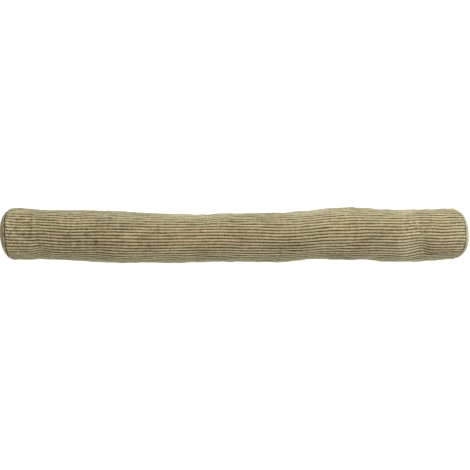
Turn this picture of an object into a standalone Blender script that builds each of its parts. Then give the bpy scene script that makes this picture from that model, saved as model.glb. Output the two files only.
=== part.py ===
"""A draught excluder: a long stuffed tube of wide-ribbed corduroy, closed by a round panel at each end.

It lies on a floor at Z = 0, in metres, with its origin on the floor at the middle of its footprint. X runs
along the tube, +Y is its back and +Z is up. Three cloth pieces are built: the stuffed sleeve, with its ribs
along X, and the two end panels, each a domed disc of the same corduroy sewn into the sleeve's end.

A place on the tube is given by "along", its distance along X from the middle, and "turn", the angle round
the tube from its top, in radians, positive towards the back.
"""

import math

import bmesh
import bpy
import numpy as np

# Driving sizes
LENGTH = 0.900
RIB_COUNT = 50
RIB_HEIGHT = 0.0017
PANEL_RIBS = 15
PANEL_THICKNESS = 0.0030
PIECE_GAP = 0.0004

# How the tube lies: the slice that the floor takes off its round section, and how softly it begins
FLOOR_CUT = 0.0035
FLOOR_EASE = 0.0010

# The tube's sections as it lies: the place along X, the back and front edges seen from above, the height,
# and how far the ribs have drifted round towards the back
SECTION_COLUMNS = ("along", "back", "front", "height", "drift")
SECTIONS = (
    (-0.421, 0.0535, -0.0465, 0.0960, -0.0004),
    (-0.392, 0.0527, -0.0462, 0.0955, -0.0004),
    (-0.373, 0.0503, -0.0445, 0.0940, 0.0003),
    (-0.345, 0.0498, -0.0465, 0.0945, 0.0001),
    (-0.316, 0.0493, -0.0470, 0.0950, -0.0008),
    (-0.277, 0.0488, -0.0492, 0.0965, 0.0012),
    (-0.229, 0.0482, -0.0521, 0.0970, 0.0027),
    (-0.190, 0.0455, -0.0520, 0.0960, 0.0030),
    (-0.150, 0.0432, -0.0515, 0.0950, 0.0034),
    (-0.105, 0.0415, -0.0520, 0.0940, 0.0049),
    (-0.047, 0.0410, -0.0505, 0.0930, 0.0053),
    (-0.028, 0.0438, -0.0498, 0.0940, 0.0039),
    (0.007, 0.0441, -0.0499, 0.0942, 0.0026),
    (0.039, 0.0438, -0.0502, 0.0945, 0.0026),
    (0.103, 0.0452, -0.0500, 0.0950, 0.0003),
    (0.124, 0.0475, -0.0468, 0.0945, -0.0013),
    (0.145, 0.0488, -0.0449, 0.0940, -0.0015),
    (0.164, 0.0513, -0.0441, 0.0950, -0.0013),
    (0.212, 0.0549, -0.0465, 0.0975, -0.0004),
    (0.255, 0.0535, -0.0458, 0.0965, 0.0012),
    (0.282, 0.0510, -0.0490, 0.0955, 0.0039),
    (0.318, 0.0512, -0.0500, 0.0960, 0.0041),
    (0.350, 0.0508, -0.0500, 0.0960, 0.0066),
    (0.375, 0.0512, -0.0482, 0.0950, 0.0054),
    (0.394, 0.0524, -0.0455, 0.0940, 0.0024),
    (0.414, 0.0514, -0.0442, 0.0930, 0.0033),
)

# The creases and swellings of the slack cover: where each is, the turn in degrees, its reach along and
# round the tube, its depth (negative where the cover swells), and its slant in metres along for each radian
CREASE_COLUMNS = ("along", "turn", "reach_along", "reach_turn", "depth", "slant")
CREASES = (
    (0.357, -12.0, 0.008, 40.0, 0.0034, 0.004),
    (0.322, -36.0, 0.020, 30.0, -0.0022, 0.000),
    (0.386, -52.0, 0.022, 28.0, 0.0024, 0.000),
    (0.334, 36.0, 0.009, 20.0, 0.0016, 0.008),
    (0.306, 76.0, 0.012, 26.0, 0.0014, 0.000),
    (0.238, -18.0, 0.012, 22.0, 0.0013, 0.100),
    (0.120, -74.0, 0.010, 30.0, 0.0020, 0.010),
    (0.097, -38.0, 0.016, 26.0, 0.0012, 0.000),
    (0.058, 66.0, 0.010, 22.0, 0.0018, -0.030),
    (-0.058, -40.0, 0.018, 26.0, 0.0013, 0.010),
    (-0.046, 72.0, 0.008, 26.0, 0.0010, 0.010),
    (-0.202, 0.0, 0.026, 34.0, -0.0016, 0.000),
    (-0.258, -40.0, 0.020, 28.0, 0.0013, 0.010),
    (-0.366, -44.0, 0.010, 24.0, 0.0030, -0.006),
    (-0.372, 70.0, 0.016, 26.0, 0.0016, 0.004),
    (-0.160, 140.0, 0.018, 34.0, 0.0018, 0.012),
    (0.190, 140.0, 0.016, 36.0, 0.0020, -0.010),
)

# Where the ribs bend aside: the place, the turn in degrees, the reach along and round the tube, and how far
# they are shifted round towards the back
BEND_COLUMNS = ("along", "turn", "reach_along", "reach_turn", "shift")
BENDS = (
    (0.300, -40.0, 0.052, 25.0, 0.0018),
    (0.341, -36.0, 0.018, 26.0, 0.0024),
    (0.088, -38.0, 0.022, 22.0, 0.0014),
    (-0.250, -42.0, 0.030, 20.0, 0.0010),
    (-0.362, -45.0, 0.010, 18.0, 0.0016),
    (-0.270, 34.0, 0.090, 18.0, -0.0017),
)

# The two ends: the side of X, the length of the rounding and its fullness, how far its tip is pushed towards
# the back, how far the seam is from the tip, how much further it is at the back than at the top and at the
# two sides than between them, and how far the panel's ribs are turned from upright
END_COLUMNS = ("name", "side", "rounding", "fullness", "pushed", "seam", "askew", "drawn", "turned")
ENDS = (
    ("end_panel_left", -1, 0.029, 2.15, 0.008, 0.0142, -0.0026, 0.0040, 84.0),
    ("end_panel_right", 1, 0.034, 2.30, -0.005, 0.0102, 0.0006, 0.0175, -80.0),
)

# How sharply the seams draw back at the sides, and how far the ribs keep apart where an end narrows
SIDE_SHARPNESS = 5
RIB_SPREAD = 0.8

# The seam's groove: how far from it the cloth begins to turn in, and how deep its fold lies
SEAM_LIP = 0.0016
SEAM_FOLD = 0.0032

# The join that closes the sleeve, low on its back: the groove that it lies in, and its extra depth
JOIN_GROOVE = 20
JOIN_DEPTH = 0.0012

# How finely the solids are cut: each rib's points as a share of its pitch and of its height, the widest
# gap between two rings, the depth from which a crease has rings of its own, and the panel's steps
RIB_POINTS = ((0.00, 0.0), (0.27, 1.0), (0.73, 1.0))
WIDEST_RING_GAP = 0.032
DEEP_CREASE = 0.0028
DEEP_CREASE_STEPS = (-1.3, 0.0, 1.3)
ROUNDING_STEP = 0.45
INNER_STEPS = (1.0, 0.66)
PANEL_STEPS = (-1.0, -0.84, -0.60, -0.30, 0.0, 0.30, 0.60, 0.84, 1.0)
OUTLINE_STEPS = 720
SLOPE_STEP = 0.001
MERGE_DISTANCE = 0.00001

SLEEVE_COLOUR = (0.292, 0.231, 0.130)
PANEL_COLOUR = (0.270, 0.212, 0.118)
CLOTH_ROUGHNESS = 0.95
SMOOTH_ANGLE = 50.0


def rows(columns, table):
    """A table's rows as dictionaries, by column name."""
    return [dict(zip(columns, row)) for row in table]


def section(name, along):
    """One column of SECTIONS at places along the tube, on a smooth curve through its rows."""
    table = rows(SECTION_COLUMNS, SECTIONS)
    places = np.array([row["along"] for row in table])
    values = np.array([row[name] for row in table])
    slopes = np.gradient(values, places)
    along = np.clip(along, places[0], places[-1])
    i = np.clip(np.searchsorted(places, along) - 1, 0, len(places) - 2)
    gap = places[i + 1] - places[i]
    t = (along - places[i]) / gap
    start = (1 + 2 * t) * (1 - t) ** 2 * values[i] + t * (1 - t) ** 2 * gap * slopes[i]
    end = t * t * (3 - 2 * t) * values[i + 1] - t * t * (1 - t) * gap * slopes[i + 1]
    return start + end


def middle_of(along):
    """The middle of the tube's section in Y and Z, and half its width and height before the floor's cut."""
    back = section("back", along)
    front = section("front", along)
    half_height = (section("height", along) + FLOOR_CUT) / 2
    return (back + front) / 2, half_height - FLOOR_CUT, (back - front) / 2, half_height


def on_floor(z):
    """Heights with all that is under the floor brought up to it, eased in where the cloth leaves it."""
    eased = (np.maximum(z, -FLOOR_EASE) + FLOOR_EASE) ** 2 / (4 * FLOOR_EASE)
    return np.where(z < FLOOR_EASE, eased, z)


def end_width(depth, end):
    """The tube's width at a depth from its tip, as a share of its full width."""
    inside = np.clip(1 - depth / end["rounding"], 0, 1)
    return (1 - inside ** end["fullness"]) ** (1 / end["fullness"])


def end_depth(width, end):
    """The depth from the tip where the rounded end is this share of the full width."""
    return end["rounding"] * (1 - (1 - width ** end["fullness"]) ** (1 / end["fullness"]))


def end_place(end, depth):
    """The place along X at a depth from one end's tip."""
    return end["side"] * (LENGTH / 2 - depth)


def seam_depth(turn, end):
    """How far the seam is from the tip, round the end."""
    aside = np.sin(turn)
    return end["seam"] + end["askew"] * aside + end["drawn"] * np.abs(aside) ** SIDE_SHARPNESS


def spread_turn(turn, width):
    """Turns moved out towards the sides, so that the ribs stay apart where the end narrows."""
    aside = np.sin(turn)
    aside = aside * (1 + RIB_SPREAD * (1 / width - 1) * (1 - aside ** 4))
    return np.arctan2(aside, np.sign(np.cos(turn)) * np.sqrt(1 - aside ** 2))


def round_point(along, turn, width):
    """Points of the tube's round section, at a share of its full width."""
    left, right = rows(END_COLUMNS, ENDS)
    y, z, half_width, half_height = middle_of(along)
    pushed = np.where(along < 0, left["pushed"], right["pushed"]) * (1 - width)
    aside = half_width * width * np.sin(turn)
    up = half_height * width * np.cos(turn)
    return np.stack([along, y + pushed + aside, z + up], -1)


def plain_point(along, turn):
    """Points of the tube's plain form with its rounded ends, without ribs, creases and floor."""
    left, right = rows(END_COLUMNS, ENDS)
    width = np.minimum(end_width(LENGTH / 2 + along, left), end_width(LENGTH / 2 - along, right))
    return round_point(along, turn, width)


def outward(along, turn):
    """The plain form's outward normals at those points."""
    round_it = plain_point(along, turn + SLOPE_STEP) - plain_point(along, turn - SLOPE_STEP)
    along_it = plain_point(along + SLOPE_STEP, turn) - plain_point(along - SLOPE_STEP, turn)
    normal = np.cross(along_it, round_it)
    normal = normal * np.sign(normal[:, 1] * np.sin(turn) + normal[:, 2] * np.cos(turn))[:, None]
    return normal / np.linalg.norm(normal, axis=-1)[:, None]


def crease_depth(along, turn):
    """How far the slack cover lies under its plain form."""
    depth = np.zeros_like(turn)
    for crease in rows(CREASE_COLUMNS, CREASES):
        away = (np.degrees(turn) - crease["turn"] + 180.0) % 360.0 - 180.0
        shifted = along - crease["along"] - crease["slant"] * np.radians(away)
        strength = (shifted / crease["reach_along"]) ** 2 + (away / crease["reach_turn"]) ** 2
        depth += crease["depth"] * np.exp(-strength)
    return depth


def rib_shift(along, turn):
    """How far the ribs are shifted round the tube where they bend aside."""
    shift = np.zeros_like(turn)
    for bend in rows(BEND_COLUMNS, BENDS):
        away = (np.degrees(turn) - bend["turn"] + 180.0) % 360.0 - 180.0
        strength = ((along - bend["along"]) / bend["reach_along"]) ** 2 + (away / bend["reach_turn"]) ** 2
        shift += bend["shift"] * np.exp(-strength)
    return shift


def rib_turns(along):
    """The turns of the ribs' points on one section, spaced evenly round the cloth as it lies."""
    turns = np.linspace(0, 2 * math.pi, OUTLINE_STEPS + 1)
    outline = plain_point(np.full_like(turns, along), turns)
    steps = np.hypot(np.diff(outline[:, 1]), np.diff(on_floor(outline[:, 2])))
    length = np.concatenate([[0.0], np.cumsum(steps)])
    shares = [(rib + share) / RIB_COUNT for rib in range(RIB_COUNT) for share, _ in RIB_POINTS]
    places = np.array(shares) * length[-1] + section("drift", along)
    places += rib_shift(along, np.interp(places % length[-1], length, turns))
    return np.interp(places % length[-1], length, turns)


def sleeve_ring(along, turn):
    """One ring of the sleeve's ribbed and creased skin."""
    sunk = np.tile([RIB_HEIGHT * (1 - level) for _, level in RIB_POINTS], RIB_COUNT)
    sunk[JOIN_GROOVE * len(RIB_POINTS)] += JOIN_DEPTH
    sunk += crease_depth(along, turn)
    points = plain_point(along, turn) - outward(along, turn) * sunk[:, None]
    points[:, 2] = on_floor(points[:, 2])
    return points


def ring_places():
    """The places of the sleeve's rings between its rounded ends."""
    left, right = rows(END_COLUMNS, ENDS)
    kept = [end_place(left, left["rounding"]), end_place(right, right["rounding"])]
    for crease in rows(CREASE_COLUMNS, CREASES):
        if crease["depth"] >= DEEP_CREASE:
            kept += [crease["along"] + step * crease["reach_along"] for step in DEEP_CREASE_STEPS]
    kept.sort()
    places = kept[:1]
    for place in kept[1:]:
        parts = math.ceil((place - places[-1]) / WIDEST_RING_GAP)
        places += list(np.linspace(places[-1], place, parts + 1)[1:])
    return places


def fold_point(end, turn, share, depth):
    """Points of the faces that meet under an end panel, at a share of the fold's width and a depth."""
    seam_place = np.full_like(turn, end_place(end, end["seam"]))
    fold_width = end_width(seam_depth(turn, end), end) - SEAM_FOLD / middle_of(seam_place)[3]
    points = round_point(seam_place, turn, share * fold_width)
    points[:, 0] = end_place(end, depth)
    return points


def inner_depth(end, turn, share):
    """The depth from the tip of the face between panel and stuffing, from its middle to the fold."""
    fold = seam_depth(turn, end)
    bowl = end_depth(share * end_width(fold, end), end) / fold
    return PANEL_THICKNESS + (fold - PANEL_THICKNESS) * bowl


def inner_tip(end, gap):
    """The middle of the face between panel and stuffing."""
    turn = np.zeros(1)
    return fold_point(end, turn, 0.0, inner_depth(end, turn, 0.0) + gap)[0]


def end_rings(end, turn):
    """The sleeve's rings at one rounded end, out to the seam, then in under the panel."""
    at_seam = spread_turn(turn, end_width(seam_depth(turn, end), end))
    seam = seam_depth(at_seam, end)
    halfway = seam + (end["rounding"] - seam) * ROUNDING_STEP
    yield sleeve_ring(end_place(end, halfway), spread_turn(turn, end_width(halfway, end)))
    yield sleeve_ring(end_place(end, seam + SEAM_LIP), at_seam)
    for share in INNER_STEPS:
        yield fold_point(end, at_seam, share, inner_depth(end, at_seam, share) + PIECE_GAP / 2)


def extrude_rim(bm, rim, tag, points):
    """Extrude an open rim to a new ring, whose points follow the rim's tags, and return the new rim."""
    made = bmesh.ops.extrude_edge_only(bm, edges=rim)["geom"]
    for vert in [item for item in made if isinstance(item, bmesh.types.BMVert)]:
        vert.co = points[vert[tag]]
    return [item for item in made if isinstance(item, bmesh.types.BMEdge) and item.is_boundary]


def close_rim(bm, rim, tip):
    """Fill an open rim with a fan of faces that meet at its tip."""
    face = bmesh.ops.contextual_create(bm, geom=rim)["faces"][0]
    bmesh.ops.poke(bm, faces=[face])["verts"][0].co = tip


def sleeve_mesh():
    """The stuffed sleeve: one ring extruded along the tube, then round and in under each panel."""
    places = ring_places()
    count = RIB_COUNT * len(RIB_POINTS)
    turn = first_turn = rib_turns(places[0])
    bm = bmesh.new()
    tag = bm.verts.layers.int.new("place")
    verts = bmesh.ops.create_circle(bm, segments=count, radius=1.0)["verts"]
    for i, (vert, point) in enumerate(zip(verts, sleeve_ring(np.full(count, places[0]), turn))):
        vert[tag] = i
        vert.co = point
    rim = first_rim = list(bm.edges)
    for place in places[1:]:
        turn = rib_turns(place)
        rim = extrude_rim(bm, rim, tag, sleeve_ring(np.full(count, place), turn))
    left, right = rows(END_COLUMNS, ENDS)
    for end, open_rim, end_turn in ((right, rim, turn), (left, first_rim, first_turn)):
        for points in end_rings(end, end_turn):
            open_rim = extrude_rim(bm, open_rim, tag, points)
        close_rim(bm, open_rim, inner_tip(end, PIECE_GAP / 2))
    return bm


def panel_point(end, line, step):
    """A point of a panel's outer face, by its line across the ribs and its step along them."""
    share, level = RIB_POINTS[line % len(RIB_POINTS)]
    across = (line // len(RIB_POINTS) + share) * 2 / PANEL_RIBS - 1
    lengthwise = PANEL_STEPS[step] * math.sqrt(max(1 - across * across, 0.0))
    turn = np.array([math.atan2(across, lengthwise) + math.radians(end["turned"])])
    width = min(math.hypot(across, lengthwise), 1.0) * end_width(seam_depth(turn, end) - SEAM_LIP, end)
    point = round_point(np.full(1, end_place(end, end["seam"])), turn, width)[0]
    point[0] = end_place(end, end_depth(width, end)[0] + RIB_HEIGHT * (1 - level))
    return point


def panel_mesh(end):
    """One end panel: a ribbed grid cut to a disc and domed, with its rim turned in and its plain back."""
    lines = PANEL_RIBS * len(RIB_POINTS)
    steps = len(PANEL_STEPS) - 1
    bm = bmesh.new()
    tag = bm.verts.layers.int.new("place")
    bmesh.ops.create_grid(bm, x_segments=lines, y_segments=steps, size=1.0)
    for vert in bm.verts:
        vert.co = panel_point(end, round((vert.co.x + 1) / 2 * lines), round((vert.co.y + 1) / 2 * steps))
    bmesh.ops.remove_doubles(bm, verts=bm.verts, dist=MERGE_DISTANCE)
    y, z, half_width, half_height = middle_of(end_place(end, end["seam"]))
    rim = [edge for edge in bm.edges if edge.is_boundary]
    turn = []
    for vert in [vert for vert in bm.verts if vert.is_boundary]:
        vert[tag] = len(turn)
        turn.append(math.atan2((vert.co.y - y) / half_width, (vert.co.z - z) / half_height))
    turn = np.array(turn)
    for share in INNER_STEPS:
        depth = inner_depth(end, turn, share) - PIECE_GAP / 2
        rim = extrude_rim(bm, rim, tag, fold_point(end, turn, share, depth))
    close_rim(bm, rim, inner_tip(end, -PIECE_GAP / 2))
    return bm


def cloth_material(name, colour):
    """Plain cloth of one colour."""
    material = bpy.data.materials.new(name)
    material.use_nodes = True
    shader = material.node_tree.nodes["Principled BSDF"]
    shader.inputs["Base Color"].default_value = (*colour, 1.0)
    shader.inputs["Roughness"].default_value = CLOTH_ROUGHNESS
    shader.inputs["Metallic"].default_value = 0.0
    return material


def add_piece(name, bm, origin, parent, material):
    """One named object from a closed mesh, with its origin at the piece's natural place."""
    bmesh.ops.recalc_face_normals(bm, faces=bm.faces)
    bmesh.ops.translate(bm, verts=bm.verts, vec=[-value for value in origin])
    mesh = bpy.data.meshes.new(name)
    bm.to_mesh(mesh)
    bm.free()
    mesh.materials.append(material)
    mesh.shade_smooth()
    mesh.set_sharp_from_angle(angle=math.radians(SMOOTH_ANGLE))
    piece = bpy.data.objects.new(name, mesh)
    piece.location = origin
    piece.parent = parent
    bpy.context.scene.collection.objects.link(piece)
    return piece


def add_sleeve(parent):
    """The stuffed sleeve, with its origin under the tube's middle."""
    material = cloth_material("sleeve_corduroy", SLEEVE_COLOUR)
    return add_piece("sleeve", sleeve_mesh(), (0.0, 0.0, 0.0), parent, material)


def add_panel(end, parent):
    """One end panel, with its origin at the middle of its seam."""
    place = end_place(end, end["seam"])
    y, z, _, _ = middle_of(place)
    material = cloth_material(end["name"] + "_corduroy", PANEL_COLOUR)
    return add_piece(end["name"], panel_mesh(end), (place, float(y), float(z)), parent, material)


def main():
    for old in list(bpy.data.objects):
        bpy.data.objects.remove(old)
    tube = bpy.data.objects.new("draught_excluder", None)
    bpy.context.scene.collection.objects.link(tube)
    sleeve = add_sleeve(tube)
    for end in rows(END_COLUMNS, ENDS):
        add_panel(end, tube)
    sides = [vert.co.y for vert in sleeve.data.vertices]
    tube.location.y = -(min(sides) + max(sides)) / 2


main()
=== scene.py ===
"""The looks of a draught excluder: a long stuffed tube of wide-ribbed corduroy with a panel at each end.

Lengths are in metres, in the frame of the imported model: X along the tube, +Y its back, +Z up from the floor.
The tube's sizes and the tables of its sections, creases, bends and ends are the ones that its solids have.
A place on it is given by "along", its distance along X from the middle, and "turn", the angle round the tube
from its top, in radians, positive towards the back.
"""
import math

import bmesh
import bpy
import numpy as np
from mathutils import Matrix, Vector


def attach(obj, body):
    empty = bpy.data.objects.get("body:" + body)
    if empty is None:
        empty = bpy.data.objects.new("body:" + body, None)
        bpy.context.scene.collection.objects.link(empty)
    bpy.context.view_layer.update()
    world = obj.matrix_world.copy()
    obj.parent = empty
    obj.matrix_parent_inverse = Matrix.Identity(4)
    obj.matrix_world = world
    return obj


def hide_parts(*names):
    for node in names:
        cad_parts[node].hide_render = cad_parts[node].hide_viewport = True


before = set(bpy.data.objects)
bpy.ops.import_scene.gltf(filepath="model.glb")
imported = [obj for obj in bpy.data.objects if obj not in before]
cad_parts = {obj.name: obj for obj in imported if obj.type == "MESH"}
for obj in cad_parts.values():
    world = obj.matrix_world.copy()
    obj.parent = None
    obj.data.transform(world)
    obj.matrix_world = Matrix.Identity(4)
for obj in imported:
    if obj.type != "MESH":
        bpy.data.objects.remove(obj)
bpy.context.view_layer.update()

# The tube's sizes
LENGTH = 0.900
ASIDE = -0.0013
RIB_COUNT = 50
RIB_HEIGHT = 0.0022
PANEL_RIBS = 15
PANEL_THICKNESS = 0.0030
PIECE_GAP = 0.0004
FLOOR_CUT = 0.0035
FLOOR_EASE = 0.0010
SEAM_LIP = 0.0016
SEAM_FOLD = 0.0032
JOIN_GROOVE = 20
JOIN_DEPTH = 0.0012

# Its sections: the place along X, the back and front edges seen from above, the height, and how far the ribs
# have drifted round towards the back
SECTION_COLUMNS = ("along", "back", "front", "height", "drift")
SECTIONS = (
    (-0.421, 0.0535, -0.0465, 0.0960, -0.0004),
    (-0.392, 0.0527, -0.0462, 0.0955, -0.0004),
    (-0.373, 0.0503, -0.0445, 0.0940, 0.0003),
    (-0.345, 0.0498, -0.0465, 0.0945, 0.0001),
    (-0.316, 0.0493, -0.0470, 0.0950, -0.0008),
    (-0.277, 0.0488, -0.0492, 0.0965, 0.0012),
    (-0.229, 0.0482, -0.0521, 0.0970, 0.0027),
    (-0.190, 0.0455, -0.0520, 0.0960, 0.0030),
    (-0.150, 0.0432, -0.0515, 0.0950, 0.0034),
    (-0.105, 0.0415, -0.0520, 0.0940, 0.0049),
    (-0.047, 0.0410, -0.0505, 0.0930, 0.0053),
    (-0.028, 0.0438, -0.0498, 0.0940, 0.0039),
    (0.007, 0.0441, -0.0499, 0.0942, 0.0026),
    (0.039, 0.0438, -0.0502, 0.0945, 0.0026),
    (0.103, 0.0452, -0.0500, 0.0950, 0.0003),
    (0.124, 0.0475, -0.0468, 0.0945, -0.0013),
    (0.145, 0.0488, -0.0449, 0.0940, -0.0015),
    (0.164, 0.0513, -0.0441, 0.0950, -0.0013),
    (0.212, 0.0549, -0.0465, 0.0975, -0.0004),
    (0.255, 0.0535, -0.0458, 0.0965, 0.0012),
    (0.282, 0.0510, -0.0490, 0.0955, 0.0039),
    (0.318, 0.0512, -0.0500, 0.0960, 0.0041),
    (0.350, 0.0508, -0.0500, 0.0960, 0.0066),
    (0.375, 0.0512, -0.0482, 0.0950, 0.0054),
    (0.394, 0.0524, -0.0455, 0.0940, 0.0024),
    (0.414, 0.0514, -0.0442, 0.0930, 0.0033),
)

# The creases and swellings of its slack cover: where each is, the turn in degrees, its reach along and round
# the tube, its depth (negative where the cover swells), and its slant in metres along for each radian
CREASE_COLUMNS = ("along", "turn", "reach_along", "reach_turn", "depth", "slant")
CREASES = (
    (0.357, -12.0, 0.008, 40.0, 0.0034, 0.004),
    (0.322, -36.0, 0.020, 30.0, -0.0022, 0.000),
    (0.386, -52.0, 0.022, 28.0, 0.0024, 0.000),
    (0.334, 36.0, 0.009, 20.0, 0.0016, 0.008),
    (0.306, 76.0, 0.012, 26.0, 0.0014, 0.000),
    (0.238, -18.0, 0.012, 22.0, 0.0013, 0.100),
    (0.120, -74.0, 0.010, 30.0, 0.0020, 0.010),
    (0.097, -38.0, 0.016, 26.0, 0.0012, 0.000),
    (0.058, 66.0, 0.010, 22.0, 0.0018, -0.030),
    (-0.058, -40.0, 0.018, 26.0, 0.0013, 0.010),
    (-0.046, 72.0, 0.008, 26.0, 0.0010, 0.010),
    (-0.202, 0.0, 0.026, 34.0, -0.0016, 0.000),
    (-0.258, -40.0, 0.020, 28.0, 0.0013, 0.010),
    (-0.366, -44.0, 0.010, 24.0, 0.0030, -0.006),
    (-0.372, 70.0, 0.016, 26.0, 0.0016, 0.004),
    (-0.160, 140.0, 0.018, 34.0, 0.0018, 0.012),
    (0.190, 140.0, 0.016, 36.0, 0.0020, -0.010),
)

# Smaller creases and swellings, which only the cover itself has, with the same columns
FINE_CREASES = (
    (0.361, -30.0, 0.0050, 26.0, 0.0016, 0.004),
    (0.432, -42.0, 0.0035, 13.0, 0.0016, 0.020),
    (0.440, -34.0, 0.0030, 11.0, 0.0012, 0.020),
    (0.345, 14.0, 0.0035, 10.0, 0.0009, 0.012),
    (0.334, 22.0, 0.0030, 9.0, 0.0009, -0.010),
    (0.325, 10.0, 0.0035, 8.0, 0.0007, 0.014),
    (0.352, 30.0, 0.0035, 9.0, 0.0008, -0.012),
    (0.364, -34.0, 0.0050, 16.0, 0.0012, -0.006),
    (0.372, 4.0, 0.0040, 12.0, 0.0006, 0.010),
    (-0.372, -30.0, 0.0040, 12.0, 0.0010, -0.014),
    (-0.356, -52.0, 0.0050, 14.0, 0.0012, 0.010),
    (-0.384, 34.0, 0.0040, 12.0, 0.0007, 0.012),
    (0.200, -30.0, 0.0060, 14.0, 0.0007, 0.030),
    (0.070, 52.0, 0.0050, 12.0, 0.0008, -0.024),
    (0.128, -54.0, 0.0045, 14.0, 0.0008, 0.012),
    (-0.052, 58.0, 0.0045, 12.0, 0.0008, 0.012),
    (-0.120, -50.0, 0.0060, 12.0, 0.0006, 0.016),
    (-0.300, 48.0, 0.0060, 12.0, 0.0006, -0.016),
    (-0.105, 84.0, 0.034, 30.0, -0.0011, 0.000),
    (-0.281, 84.0, 0.012, 30.0, -0.0007, 0.000),
    (-0.015, 84.0, 0.022, 26.0, 0.0010, 0.000),
    (0.379, 84.0, 0.012, 26.0, 0.0008, 0.000),
    (0.420, 84.0, 0.022, 34.0, -0.0014, 0.000),
    (0.126, -84.0, 0.014, 30.0, -0.0014, 0.000),
    (0.188, -84.0, 0.014, 30.0, -0.0013, 0.000),
    (0.420, -84.0, 0.020, 30.0, -0.0008, 0.000),
    (-0.082, -84.0, 0.010, 26.0, 0.0010, 0.000),
    (0.272, -84.0, 0.008, 26.0, 0.0009, 0.000),
)

# Where the ribs bend aside: the place, the turn in degrees, the reach along and round the tube, and how far
# they are shifted round towards the back
BEND_COLUMNS = ("along", "turn", "reach_along", "reach_turn", "shift")
BENDS = (
    (0.300, -40.0, 0.052, 25.0, 0.0018),
    (0.341, -36.0, 0.018, 26.0, 0.0024),
    (0.088, -38.0, 0.022, 22.0, 0.0014),
    (-0.250, -42.0, 0.030, 20.0, 0.0010),
    (-0.362, -45.0, 0.010, 18.0, 0.0016),
    (-0.270, 34.0, 0.090, 18.0, -0.0017),
)

# Sharper bends, which only the cover itself has, with the same columns
FINE_BENDS = (
    (0.352, -34.0, 0.011, 22.0, 0.0026),
    (-0.425, -16.0, 0.020, 16.0, 0.0008),
    (-0.408, 30.0, 0.016, 16.0, -0.0014),
)

# The bends of the two rounded ends, with the same columns
END_BENDS = (
    (-0.446, 38.0, 0.015, 26.0, 0.0022),
    (0.446, 40.0, 0.018, 26.0, 0.0010),
    (0.450, 5.0, 0.022, 70.0, 0.0022),
    (0.446, -42.0, 0.018, 24.0, -0.0012),
)

# The two ends: the side of X, the length of the rounding and its fullness, how far its tip is pushed towards
# the back, how far the seam is from the tip, how much further it is at the back than at the top and at the
# two sides than between them, how far the panel's ribs are turned from upright, and its sheen
END_COLUMNS = (
    "name", "side", "rounding", "fullness", "pushed", "seam", "askew", "drawn", "turned", "sheen",
)
ENDS = (
    ("end_panel_left", -1, 0.029, 2.15, 0.008, 0.0142, -0.0026, 0.0040, 84.0, 0.15),
    ("end_panel_right", 1, 0.034, 2.30, -0.005, 0.0102, 0.0006, 0.0175, -80.0, 0.90),
)

# How sharply the seams draw back at the sides, and how far the ribs keep apart where an end narrows
SIDE_SHARPNESS = 5
RIB_SPREAD = 0.8

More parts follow.
